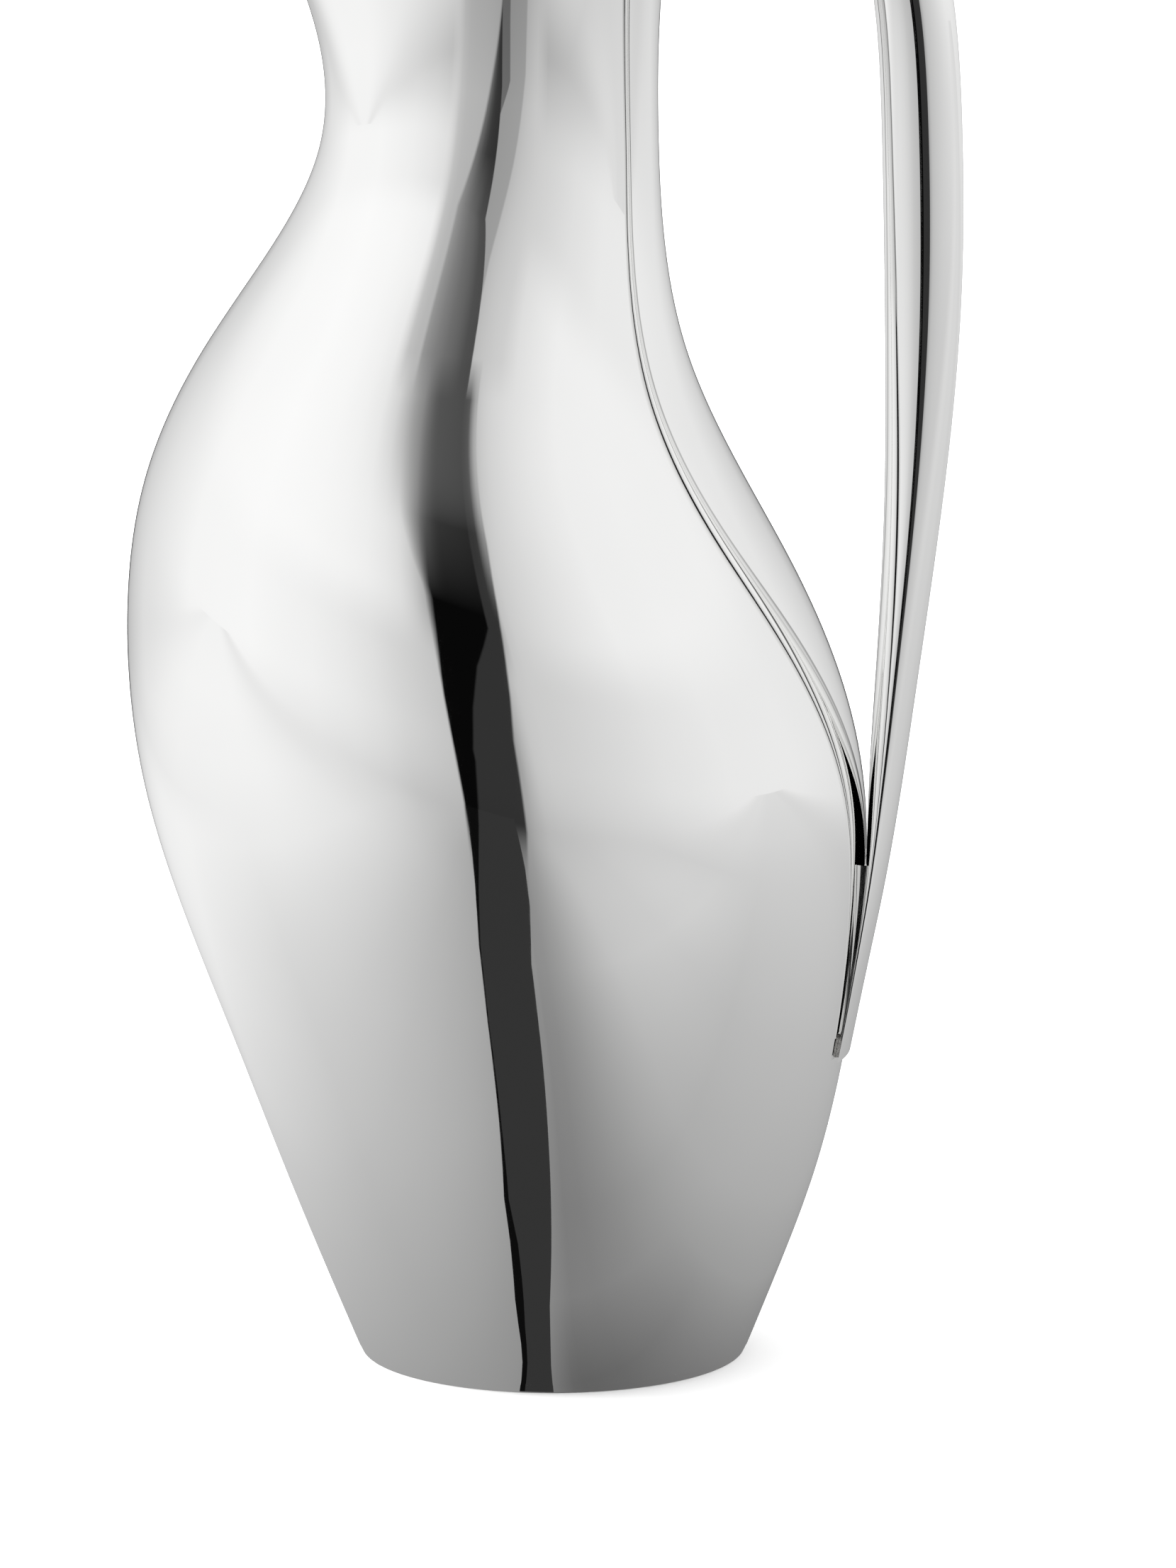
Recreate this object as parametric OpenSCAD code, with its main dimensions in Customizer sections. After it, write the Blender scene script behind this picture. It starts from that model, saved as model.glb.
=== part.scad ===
// Water pitcher of polished sheet silver: a leaning, pear-shaped body pressed in two halves and
// soldered along the front and back, a beaded mouth with a high beak, an inset bottom on a flat foot
// ring, and a hollow handle that runs from the back of the mouth down to a flat tongue on the body.
// Millimetres. +Z is up, the beak points to -X, the handle is at +X, and the origin is the middle of
// the foot ring's underside.

/* [Body] */
// Diameter of the foot, where the pitcher stands
base_d = 68; // [64:1:72]
// Thickness of the sheet that the body is pressed from
wall = 1; // [0.8:0.1:1.4]
// Width of the solder line between the two halves
seam_w = 0.4; // [0.3:0.1:0.6]
// Rows of facets up one half of the body
body_rows = 40; // [24:2:44]
// Columns of facets around one half of the body
body_cols = 32; // [20:2:34]

/* [Mouth] */
// Height at which the sides of the mouth would lie without the beak and the rise at the back
mouth_h = 245.5; // [242:0.5:248]
// How far the beak's tip rises above the sides
beak_rise = 38; // [20:0.5:39]
// How far the back of the mouth rises towards the handle
back_rise = 15.5; // [6:0.5:18]
// Width of the bead along the edge
bead_w = 2.4; // [2:0.1:3]
// Height of the bead
bead_h = 1.6; // [1.2:0.1:2.2]

/* [Foot] */
// Height of the foot ring
foot_h = 1.6; // [1.2:0.1:2]
// Width of the flat that the foot ring stands on
foot_flat_w = 4.6; // [3:0.2:6]
// Thickness of the bottom plate
bottom_t = 1.2; // [1:0.1:1.6]

/* [Handle] */
// Thickness of the sheet that the handle's shells are pressed from
handle_wall = 0.8; // [0.6:0.1:1]
// Width of the solder line between the handle's shells
handle_seam_w = 0.2; // [0.1:0.05:0.3]
// Rings of facets along the handle
handle_rows = 44; // [30:2:48]
// Facets around one shell of the handle
handle_cols = 12; // [8:2:14]

/* [Hidden] */
$fn = 96;

silver = [0.86, 0.86, 0.85];
satin = [0.74, 0.74, 0.73];
solder = [0.62, 0.61, 0.59];

// How much narrower the foot is at its flat than at its top, in line with the body above
FOOT_TAPER = 0.7;
foot_r = base_d / 2 + FOOT_TAPER;

// The body's control rows from the foot to the beak: height, reach forwards, reach backwards,
// half depth as a share of half length, and how much the section narrows towards the beak
BODY = [
    [foot_h, foot_r, foot_r, 1, 0],
    [14, 39.9, 39.7, 0.985, 0],
    [33.5, 47.8, 47.2, 0.96, 0],
    [55.5, 56.0, 52.1, 0.935, 0],
    [77.5, 64.8, 55.0, 0.925, 0],
    [99, 72.0, 56.0, 0.92, 0],
    [119, 75.1, 52.2, 0.93, 0],
    [139, 75.3, 43.8, 0.945, 0],
    [158.5, 72.3, 32.5, 0.945, 0],
    [178.5, 63.0, 22.9, 0.925, 0],
    [198.5, 48.5, 19.3, 0.885, 0],
    [216, 39.3, 18.5, 0.85, 0.02],
    [234, 39.8, 18.3, 0.83, 0.08],
    [252, 46.6, 19.5, 0.82, 0.2],
    [270, 56.0, 21.5, 0.8, 0.36],
    [288, 70.0, 24.0, 0.78, 0.5]
];

// The handle's control rows from its tongue to its head: X, Z, half thickness and half width
HANDLE = [
    [52.3, 55.2, 0.4, 10.5],
    [53.5, 61.5, 0.45, 10.3],
    [55.5, 73.5, 0.85, 9.8],
    [57.3, 86.0, 1.65, 9.0],
    [58.6, 102.0, 2.95, 7.4],
    [60.3, 119.0, 3.6, 6.4],
    [62.3, 139.0, 4.4, 5.7],
    [63.9, 158.5, 5.35, 5.2],
    [64.9, 179.5, 6.45, 4.9],
    [65.2, 200.0, 7.05, 4.8],
    [64.8, 221.0, 7.1, 4.8],
    [64.0, 239.0, 7.0, 4.9],
    [61.4, 255.5, 6.8, 5.2],
    [53.2, 266.5, 6.6, 5.8],
    [41.5, 267.5, 6.2, 6.6],
    [31.0, 260.5, 6.0, 7.5],
    [22.6, 251.0, 6.0, 8.4]
];
// The rows of HANDLE over which its height only rises
HANDLE_RISING_ROWS = 8;

// ---- Curves ----

// Row i of a list of control rows, with one more row drawn out past each end
function control(rows, i) =
    i < 0 ? 2 * rows[0] - rows[1]
    : i >= len(rows) ? 2 * rows[len(rows) - 1] - rows[len(rows) - 2]
    : rows[i];

// A smooth cubic B-spline that starts at the first control row and ends at the last
function spline(rows, u) =
    let (i = min(floor(u), len(rows) - 2), f = u - i)
    ((1 - f) ^ 3 * control(rows, i - 1)
    + (4 - 6 * f ^ 2 + 3 * f ^ 3) * control(rows, i)
    + (1 + 3 * f + 3 * f ^ 2 - 3 * f ^ 3) * control(rows, i + 1)
    + f ^ 3 * control(rows, i + 2)) / 6;

// Where one column of a spline that only rises reaches a value, found by halving
function reach(rows, column, value, low, high, steps = 24) =
    let (middle = (low + high) / 2)
    steps == 0 ? middle
    : spline(rows, middle)[column] < value ? reach(rows, column, value, middle, high, steps - 1)
    : reach(rows, column, value, low, middle, steps - 1);

function unit(v) = v / norm(v);

// ---- Body surface ----

BODY_END = len(BODY) - 1;
// Steps in level and in angle for measuring the direction of a surface
STEP_U = 0.01;
STEP_T = 0.5;
// How sharply the edge's rise is gathered at the beak and at the back
BEAK_GATHER = 2.6;
BACK_GATHER = 10;

function body_level(z) = reach(BODY, 0, z, 0, BODY_END);

// Height of the edge of the sheet at angle t
function rim_z(t) =
    mouth_h
    + beak_rise * ((1 - cos(t)) / 2) ^ BEAK_GATHER
    + back_rise * ((1 + cos(t)) / 2) ^ BACK_GATHER;

// The outer skin at level u and angle t, where t is 0 at the back and 180 at the beak
function skin(u, t) =
    let (
        s = spline(BODY, u),
        half_length = (s[1] + s[2]) / 2,
        half_depth = half_length * s[3]
    )
    [(s[2] - s[1]) / 2 + half_length * cos(t), half_depth * sin(t) * (1 + s[4] * cos(t)), s[0]];

function skin_normal(u, t) =
    let (low = max(u - STEP_U, 0), high = min(u + STEP_U, BODY_END))
    unit(cross(skin(u, t + STEP_T) - skin(u, t - STEP_T), skin(high, t) - skin(low, t)));

function lining(u, t) = skin(u, t) - wall * skin_normal(u, t);

// Moves a point of the far half out of the solder line between the halves
function clear_of_seam(p) = [p.x, max(p.y, seam_w / 2), p.z];
function at_y(p, y) = [p.x, y, p.z];

// The angle at which the back of a level reaches the depth y, found by halving
function back_angle(u, y, low = 0, high = 60, steps = 16) =
    let (middle = (low + high) / 2)
    steps == 0 ? middle
    : skin(u, middle).y < y ? back_angle(u, y, middle, high, steps - 1)
    : back_angle(u, y, low, middle, steps - 1);

// X of the body's back at height z and depth y
function back_x(y, z) = let (u = body_level(z)) skin(u, back_angle(u, abs(y))).x;

// ---- Solids from rows of points ----

// A bent sheet: each row is its outer points from one edge to the other, then its inner points back
module sheet(rows) {
    size = len(rows[0]);
    last = len(rows) - 1;
    across = size / 2 - 1;
    function quad(a, b, c, d) = [[a, b, c], [a, c, d]];
    sides = [
        for (j = [0 : last - 1], i = [0 : size - 1])
        let (n = (i + 1) % size)
        each quad(j * size + i, (j + 1) * size + i, (j + 1) * size + n, j * size + n)
    ];
    ends = [
        for (i = [0 : across - 1])
        let (o = i, p = i + 1, q = size - 2 - i, r = size - 1 - i, top = last * size)
        each concat(quad(o, p, q, r), quad(top + r, top + q, top + p, top + o))
    ];
    polyhedron([for (row = rows) each row], concat(sides, ends), 4);
}

// A closed ring: each row is one section, and the last section joins the first
module ring(rows) {
    size = len(rows[0]);
    count = len(rows);
    sides = [
        for (j = [0 : count - 1], i = [0 : size - 1])
        let (n = (i + 1) % size, k = (j + 1) % count)
        each [
            [j * size + i, k * size + i, k * size + n],
            [j * size + i, k * size + n, j * size + n]
        ]
    ];
    polyhedron([for (row = rows) each row], sides, 4);
}

// A closed solid that starts at one point, widens through rings of points and ends at another
module spindle(first, rings, last) {
    size = len(rings[0]);
    count = len(rings);
    base = 1;
    tip = 1 + size * count;
    faces = [
        for (i = [0 : size - 1])
        let (n = (i + 1) % size, top = base + (count - 1) * size)
        each concat(
            [[0, base + i, base + n]],
            [
                for (j = [0 : count - 2])
                let (low = base + j * size, high = low + size)
                each [[low + i, high + i, high + n], [low + i, high + n, low + n]]
            ],
            [[tip, top + n, top + i]]
        )
    ];
    polyhedron(concat([first], [for (r = rings) each r], [last]), faces, 4);
}

// ---- Body ----

// Level of facet row j in the column at angle t, from the foot to the edge of the mouth
function row_level(j, t) = body_level(rim_z(t)) * j / body_rows;

module body_half() {
    rows = [
        for (j = [0 : body_rows])
        concat(
            [
                for (i = [0 : body_cols])
                let (t = 180 * i / body_cols)
                clear_of_seam(skin(row_level(j, t), t))
            ],
            [
                for (i = [body_cols : -1 : 0])
                let (t = 180 * i / body_cols)
                clear_of_seam(lining(row_level(j, t), t))
            ]
        )
    ];
    sheet(rows);
}

// The solder line along the front (t = 180) or the back (t = 0)
module seam_solder(t) {
    side = t == 0 ? 1 : -1;
    rows = [
        for (j = [0 : body_rows])
        let (u = row_level(j, t), outer = skin(u, t), inner = lining(u, t), y = side * seam_w / 2)
        [at_y(outer, -y), at_y(outer, y), at_y(inner, y), at_y(inner, -y)]
    ];
    sheet(rows);
}

module near_body_half() {
    color(silver) mirror([0, 1, 0]) body_half();
}

module far_body_half() {
    color(silver) body_half();
}

module front_seam_solder() {
    color(solder) seam_solder(180);
}

module back_seam_solder() {
    color(solder) seam_solder(0);
}

// ---- Mouth ----

// Points across one section of the bead
BEAD_POINTS = 8;

// One section of the bead, which sits on the edge of the sheet and stands out on both sides of it
function bead_section(t) =
    let (
        u = body_level(rim_z(t)),
        outwards = skin_normal(u, t),
        along = skin(u, t + STEP_T) - skin(u, t - STEP_T),
        upwards = unit(cross(outwards, unit(along))),
        middle = (skin(u, t) + lining(u, t)) / 2
    )
    [
        for (i = [0 : BEAD_POINTS - 1])
        let (a = 180 * i / (BEAD_POINTS - 1))
        middle + outwards * bead_w / 2 * cos(a) + upwards * bead_h * sin(a)
    ];

module rim_bead() {
    color(silver) ring([for (i = [0 : 2 * body_cols - 1]) bead_section(180 * i / body_cols)]);
}

// ---- Foot ----

// Radius of the foot ring's lower outside edge, and the bottom plate's gap to the lining
FOOT_ROUND = 0.3;
BOTTOM_EDGE_GAP = 0.1;
// Leg of the solder fillet around the bottom plate
BOTTOM_FILLET = 1.4;

lining_r = foot_r - wall;

// The flat ring under the body, with its lower outside edge just broken
module foot_ring() {
    inner_r = base_d / 2 - foot_flat_w;
    centre_r = base_d / 2 - FOOT_ROUND;
    color(silver) rotate_extrude()
        polygon(concat(
            [[inner_r, foot_h], [inner_r, 0], [centre_r, 0]],
            [for (a = [-60 : 20 : -20]) [centre_r + FOOT_ROUND * cos(a), FOOT_ROUND * (1 + sin(a))]],
            [[foot_r, foot_h]]
        ));
}

module bottom_plate() {
    color(satin) translate([0, 0, foot_h]) cylinder(h = bottom_t, r = lining_r - BOTTOM_EDGE_GAP);
}

// The fillet of solder between the bottom plate and the lining
module bottom_seam_solder() {
    top_z = foot_h + bottom_t;
    edge_r = lining_r - BOTTOM_EDGE_GAP;
    color(solder) rotate_extrude()
        polygon([
            [edge_r - BOTTOM_FILLET, top_z],
            [edge_r, top_z],
            [edge_r, top_z + BOTTOM_FILLET]
        ]);
}

// ---- Handle ----

HANDLE_END = len(HANDLE) - 1;
// Where the inner shell starts, above the tongue
INNER_SHELL_FOOT_Z = 59.2;
// Between these heights the handle's section stops bending around the body
BEND_LOW_Z = 74;
BEND_HIGH_Z = 118;
// The rows at the head over which the section turns upright
HEAD_ROWS = 3;

function handle_level(z) = reach(HANDLE, 1, z, 0, HANDLE_RISING_ROWS);
function smooth(f) = let (g = min(max(f, 0), 1)) g * g * (3 - 2 * g);

// How far a section bends to follow the body: fully (1) on the tongue, not at all (0) higher up
function bend(z) = smooth((BEND_HIGH_Z - z) / (BEND_HIGH_Z - BEND_LOW_Z));

// The point at level v that lies n outwards from the handle's middle surface, at depth y
function handle_point(v, n, y) =
    let (
        s = spline(HANDLE, v),
        ahead = spline(HANDLE, min(v + STEP_U, HANDLE_END)),
        behind = spline(HANDLE, max(v - STEP_U, 0)),
        along = unit([ahead[0] - behind[0], ahead[1] - behind[1]]),
        upright = smooth((v - HANDLE_END + HEAD_ROWS) / HEAD_ROWS),
        outwards = unit((1 - upright) * [along[1], -along[0]] + upright * [0, 1]),
        follow = bend(s[1]),
        wrap = follow > 0 ? follow * (back_x(y, s[1]) - back_x(0, s[1])) : 0
    )
    [s[0] + n * outwards.x + wrap, y, s[1] + n * outwards.y];

// One surface of a shell: side is 1 for the outer shell and -1 for the inner, inset is its depth
function shell_points(v, side, inset) =
    let (
        s = spline(HANDLE, v),
        gap = handle_seam_w / 2,
        rise = max(s[2] - gap - inset, 0),
        half_width = s[3] - inset
    )
    [
        for (i = [0 : handle_cols])
        let (a = 180 * i / handle_cols)
        handle_point(v, side * (gap + rise * sin(a)), -side * half_width * cos(a))
    ];

function reversed(list) = [for (i = [len(list) - 1 : -1 : 0]) list[i]];

module handle_shell(side, start) {
    sheet([
        for (j = [0 : handle_rows])
        let (v = start + (HANDLE_END - start) * j / handle_rows)
        concat(shell_points(v, side, 0), reversed(shell_points(v, side, handle_wall)))
    ]);
}

module handle_outer_shell() {
    color(silver) handle_shell(1, 0);
}

module handle_inner_shell() {
    color(silver) handle_shell(-1, handle_level(INNER_SHELL_FOOT_Z));
}

// The two lines of solder between the handle's shells
module handle_seam_solder() {
    start = handle_level(INNER_SHELL_FOOT_Z);
    gap = handle_seam_w / 2;
    color(solder)
        for (side = [-1, 1])
            sheet([
                for (j = [0 : handle_rows])
                let (
                    v = start + (HANDLE_END - start) * j / handle_rows,
                    edge = spline(HANDLE, v)[3],
                    out_y = side * edge,
                    in_y = side * (edge - handle_wall)
                )
                side > 0
                ? [handle_point(v, -gap, out_y), handle_point(v, -gap, in_y),
                    handle_point(v, gap, in_y), handle_point(v, gap, out_y)]
                : [handle_point(v, -gap, in_y), handle_point(v, -gap, out_y),
                    handle_point(v, gap, out_y), handle_point(v, gap, in_y)]
            ]);
}

// The outline of the handle's end section, grown by a factor, on the plane it ends at
function head_outline(grow) =
    let (s = spline(HANDLE, HANDLE_END), count = 2 * handle_cols)
    [
        for (i = [0 : count - 1])
        let (a = 360 * i / count)
        [s[0], -grow * s[3] * cos(a), s[1] + grow * s[2] * sin(a)]
    ];

// How much wider the saddle is at the body, the solder's thickness, and the gap either side of it
HEAD_FLARE = 1.12;
HEAD_SOLDER_T = 0.3;
WALL_CLEARANCE = 0.05;
// Sizes of the rings of points that cover the head's faces, as shares of the outline
HEAD_RINGS = [1, 0.7, 0.4, 0.15];

// Points of the head's outline, grown and laid on the body's back with a gap
function on_back(points, gap) = [for (p = points) [back_x(p.y, p.z) + gap, p.y, p.z]];

head_middle = [spline(HANDLE, HANDLE_END)[0], 0, spline(HANDLE, HANDLE_END)[1]];

// The saddle that closes the handle's head and flares out onto the body
module handle_head_saddle() {
    gap = WALL_CLEARANCE + HEAD_SOLDER_T + WALL_CLEARANCE;
    rings = concat(
        [head_outline(1)],
        [for (k = HEAD_RINGS) on_back(head_outline(k * HEAD_FLARE), gap)]
    );
    color(silver) translate([-WALL_CLEARANCE, 0, 0])
        spindle(head_middle, rings, on_back([head_middle], gap)[0]);
}

// The layer of solder between the saddle and the body
module handle_head_solder() {
    far_gap = WALL_CLEARANCE + HEAD_SOLDER_T;
    outer = [for (i = [len(HEAD_RINGS) - 1 : -1 : 0])
        on_back(head_outline(HEAD_RINGS[i] * HEAD_FLARE), far_gap)];
    inner = [for (k = HEAD_RINGS) on_back(head_outline(k * HEAD_FLARE), WALL_CLEARANCE)];
    color(solder) spindle(
        on_back([head_middle], far_gap)[0],
        concat(outer, inner),
        on_back([head_middle], WALL_CLEARANCE)[0]
    );
}

// The solder under the tongue: its heights, its gap around the inner shell's foot and to the
// surfaces beside it, and its rows of facets
FOOT_SOLDER_LOW_Z = 56;
FOOT_SOLDER_TOP_Z = 90;
FOOT_SOLDER_BREAK = 0.3;
FOOT_SOLDER_CLEARANCE = 0.03;
FOOT_SOLDER_ROWS = 8;
// How far the solder's edges lie inside the handle's: below the inner shell, and behind it
BARE_SOLDER_EDGE = 0.4;
HIDDEN_SOLDER_EDGE = 1.8;

// One row of the solder under the tongue: against the handle at depth n, and against the body
function foot_solder_row(v, shaped, edge) =
    let (
        s = spline(HANDLE, v),
        gap = handle_seam_w / 2,
        half_width = s[3] - edge,
        outer = [
            for (i = [0 : handle_cols])
            let (
                a = 180 * i / handle_cols,
                depth = shaped ? gap + max(s[2] - gap, 0) * sin(a) : 0
            )
            handle_point(v, -depth, -half_width * cos(a)) - [FOOT_SOLDER_CLEARANCE, 0, 0]
        ]
    )
    concat(
        outer,
        [for (p = reversed(outer)) [back_x(p.y, p.z) + FOOT_SOLDER_CLEARANCE, p.y, p.z]]
    );

// The solder between the tongue and the body: bare below the inner shell, a fillet behind it above
module handle_foot_solder() {
    stretches = [
        [FOOT_SOLDER_LOW_Z, INNER_SHELL_FOOT_Z - FOOT_SOLDER_BREAK, false, BARE_SOLDER_EDGE],
        [INNER_SHELL_FOOT_Z + FOOT_SOLDER_BREAK, FOOT_SOLDER_TOP_Z, true, HIDDEN_SOLDER_EDGE]
    ];
    color(solder)
        for (stretch = stretches)
            sheet([
                for (j = [0 : FOOT_SOLDER_ROWS])
                let (z = stretch[0] + (stretch[1] - stretch[0]) * j / FOOT_SOLDER_ROWS)
                foot_solder_row(handle_level(z), stretch[2], stretch[3])
            ]);
}

near_body_half();
far_body_half();
front_seam_solder();
back_seam_solder();
rim_bead();
bottom_plate();
foot_ring();
bottom_seam_solder();
handle_outer_shell();
handle_inner_shell();
handle_seam_solder();
handle_head_saddle();
handle_head_solder();
handle_foot_solder();
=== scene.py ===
"""Looks of the silver water pitcher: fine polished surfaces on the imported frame, in a white light tent."""

import math

import bpy
import numpy as np
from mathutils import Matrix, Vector


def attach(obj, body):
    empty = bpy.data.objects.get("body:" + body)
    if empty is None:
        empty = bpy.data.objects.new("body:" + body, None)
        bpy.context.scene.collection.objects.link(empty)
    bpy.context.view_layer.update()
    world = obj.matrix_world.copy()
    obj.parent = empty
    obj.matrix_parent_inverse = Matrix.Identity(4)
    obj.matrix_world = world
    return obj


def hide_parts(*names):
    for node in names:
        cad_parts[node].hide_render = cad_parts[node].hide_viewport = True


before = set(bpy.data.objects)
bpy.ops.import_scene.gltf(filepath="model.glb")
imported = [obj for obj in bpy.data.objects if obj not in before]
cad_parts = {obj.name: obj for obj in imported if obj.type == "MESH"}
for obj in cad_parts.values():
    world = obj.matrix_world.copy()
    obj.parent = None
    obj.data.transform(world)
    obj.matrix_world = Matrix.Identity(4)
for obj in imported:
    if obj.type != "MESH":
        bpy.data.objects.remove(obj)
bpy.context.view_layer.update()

# ---------------------------------------------------------------- sizes, in metres

WALL = 0.001
SEAM_WIDTH = 0.0004
FOOT_HEIGHT = 0.0016
FOOT_RADIUS = 0.0347
FOOT_TAPER = 0.0007
FOOT_ROUND = 0.0003
FOOT_FLAT = 0.0046
BOTTOM_THICKNESS = 0.0012
BOTTOM_HOLLOW = 0.0002
BOTTOM_EDGE = FOOT_RADIUS - WALL - 0.0001
BOTTOM_FILLET = 0.0014
BOTTOM_FILLET_LEAN = 0.0004
MOUTH_HEIGHT = 0.2455
BEAK_RISE = 0.038
BACK_RISE = 0.0155
BEAK_GATHER = 2.6
BACK_GATHER = 10
BEAD_WIDTH = 0.0024
BEAD_HEIGHT = 0.0016
HANDLE_WALL = 0.0008
HANDLE_SEAM = 0.0002
INNER_SHELL_FOOT = 0.0592
FOOT_SOLDER_LOW = 0.056
FOOT_SOLDER_TOP = 0.090
BARE_SOLDER_EDGE = 0.0004
HIDDEN_SOLDER_EDGE = 0.0018
BEND_LOW = 0.074
BEND_HIGH = 0.118
HEAD_ROWS = 3
HEAD_FLARE = 1.12
HEAD_GAP = 0.0004
HEAD_SOLDER_RADIUS = 0.00035
FOOT_SOLDER_CLEARANCE = 0.00003
FOOT_SOLDER_BREAK = 0.001

# The body's control rows: height, reach forwards, reach backwards, depth share, narrowing
BODY = np.array([
    (FOOT_HEIGHT, FOOT_RADIUS, FOOT_RADIUS, 1, 0),
    (0.0140, 0.0399, 0.0397, 0.985, 0),
    (0.0335, 0.0478, 0.0472, 0.96, 0),
    (0.0555, 0.0560, 0.0521, 0.935, 0),
    (0.0775, 0.0648, 0.0550, 0.925, 0),
    (0.0990, 0.0720, 0.0560, 0.92, 0),
    (0.1190, 0.0751, 0.0522, 0.93, 0),
    (0.1390, 0.0753, 0.0438, 0.945, 0),
    (0.1585, 0.0723, 0.0325, 0.945, 0),
    (0.1785, 0.0630, 0.0229, 0.925, 0),
    (0.1985, 0.0485, 0.0193, 0.885, 0),
    (0.2160, 0.0393, 0.0185, 0.85, 0.02),
    (0.2340, 0.0398, 0.0183, 0.83, 0.08),
    (0.2520, 0.0466, 0.0195, 0.82, 0.20),
    (0.2700, 0.0560, 0.0215, 0.80, 0.36),
    (0.2880, 0.0700, 0.0240, 0.78, 0.50),
])

# The handle's control rows from its tongue to its head: X, Z, half thickness, half width
HANDLE = np.array([
    (0.0523, 0.0552, 0.00040, 0.0105),
    (0.0535, 0.0615, 0.00045, 0.0103),
    (0.0555, 0.0735, 0.00085, 0.0098),
    (0.0573, 0.0860, 0.00165, 0.0090),
    (0.0586, 0.1020, 0.00295, 0.0074),
    (0.0603, 0.1190, 0.00360, 0.0064),
    (0.0623, 0.1390, 0.00440, 0.0057),
    (0.0639, 0.1585, 0.00535, 0.0052),
    (0.0649, 0.1795, 0.00645, 0.0049),
    (0.0652, 0.2000, 0.00705, 0.0048),
    (0.0648, 0.2210, 0.00710, 0.0048),
    (0.0640, 0.2390, 0.00700, 0.0049),
    (0.0614, 0.2555, 0.00680, 0.0052),
    (0.0532, 0.2665, 0.00660, 0.0058),
    (0.0415, 0.2675, 0.00620, 0.0066),
    (0.0310, 0.2605, 0.00600, 0.0075),
    (0.0226, 0.2510, 0.00600, 0.0084),
])
BODY_END = len(BODY) - 1
HANDLE_END = len(HANDLE) - 1
HANDLE_RISING_ROWS = 8

# Fineness of the meshes
BODY_ROWS = 260
BODY_COLS = 150
SEAM_COLS = 4
HANDLE_ROWS = 300
HANDLE_COLS = 48
BEAD_ROWS = 720
BEAD_STEPS = 22

# ---------------------------------------------------------------- curves


def spline(rows, u):
    """Points at the levels u of a cubic B-spline that runs from the first row to the last."""
    u = np.asarray(u, float)
    drawn_out = np.vstack([2 * rows[0] - rows[1], rows, 2 * rows[-1] - rows[-2]])
    i = np.clip(np.floor(u).astype(int), 0, len(rows) - 2)
    f = (u - i)[..., None]
    return (
        (1 - f) ** 3 * drawn_out[i]
        + (4 - 6 * f ** 2 + 3 * f ** 3) * drawn_out[i + 1]
        + (1 + 3 * f + 3 * f ** 2 - 3 * f ** 3) * drawn_out[i + 2]
        + f ** 3 * drawn_out[i + 3]
    ) / 6


def level_of(rows, column, value, high):
    """The level at which a rising column of a spline reaches each value."""
    levels = np.linspace(0, high, 4000)
    return np.interp(value, spline(rows, levels)[:, column], levels)


def unit(v):
    return v / np.maximum(np.linalg.norm(v, axis=-1, keepdims=True), 1e-12)


def smooth(f):
    g = np.clip(f, 0, 1)
    return g * g * (3 - 2 * g)


# ---------------------------------------------------------------- the body's surface


def skin(u, t):
    """The outer skin at levels u and angles t, where t is 0 at the back and pi at the beak."""
    s = spline(BODY, u)
    half_length = (s[..., 1] + s[..., 2]) / 2
    half_depth = half_length * s[..., 3]
    x = (s[..., 2] - s[..., 1]) / 2 + half_length * np.cos(t)
    y = half_depth * np.sin(t) * (1 + s[..., 4] * np.cos(t))
    return np.stack([x, y, s[..., 0]], -1)


def skin_normal(u, t):
    du, dt = 1e-3, 1e-3
    up = skin(np.minimum(u + du, BODY_END), t) - skin(np.maximum(u - du, 0), t)
    around = skin(u, t + dt) - skin(u, t - dt)
    return unit(np.cross(around, up))


def rim_height(t):
    return (
        MOUTH_HEIGHT
        + BEAK_RISE * ((1 - np.cos(t)) / 2) ** BEAK_GATHER
        + BACK_RISE * ((1 + np.cos(t)) / 2) ** BACK_GATHER
    )


def body_level(z):
    return level_of(BODY, 0, z, BODY_END)


def back_x(y, z):
    """X of the body's back at depths y and heights z."""
    s = spline(BODY, body_level(z))
    half_length = (s[..., 1] + s[..., 2]) / 2
    t = np.zeros(np.shape(y))
    for _ in range(6):
        t = np.arcsin(np.clip(np.abs(y) / (half_length * s[..., 3] * (1 + s[..., 4] * np.cos(t))), 0, 1))
    return (s[..., 2] - s[..., 1]) / 2 + half_length * np.cos(t)


def seam_angles(u):
    """Angles at which the solder lines at the back and the front end, at levels u."""
    s = spline(BODY, u)
    half_depth = (s[..., 1] + s[..., 2]) / 2 * s[..., 3]
    back = SEAM_WIDTH / 2 / (half_depth * (1 + s[..., 4]))
    front = SEAM_WIDTH / 2 / (half_depth * (1 - s[..., 4]))
    return back, front


# ---------------------------------------------------------------- meshes


def new_piece(name, points, faces, normals=None):
    """An object from points and faces. normals are given per face corner, or worked out if None."""
    mesh = bpy.data.meshes.new(name)
    mesh.from_pydata([tuple(p) for p in points], [], [tuple(f) for f in faces])
    mesh.polygons.foreach_set("use_smooth", [True] * len(mesh.polygons))
    if normals is None:
        mesh.set_sharp_from_angle(angle=math.radians(38))
    else:
        mesh.normals_split_custom_set([tuple(n) for n in normals])
    mesh.update()
    piece = bpy.data.objects.new(name, mesh)
    bpy.context.scene.collection.objects.link(piece)
    return piece


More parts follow.
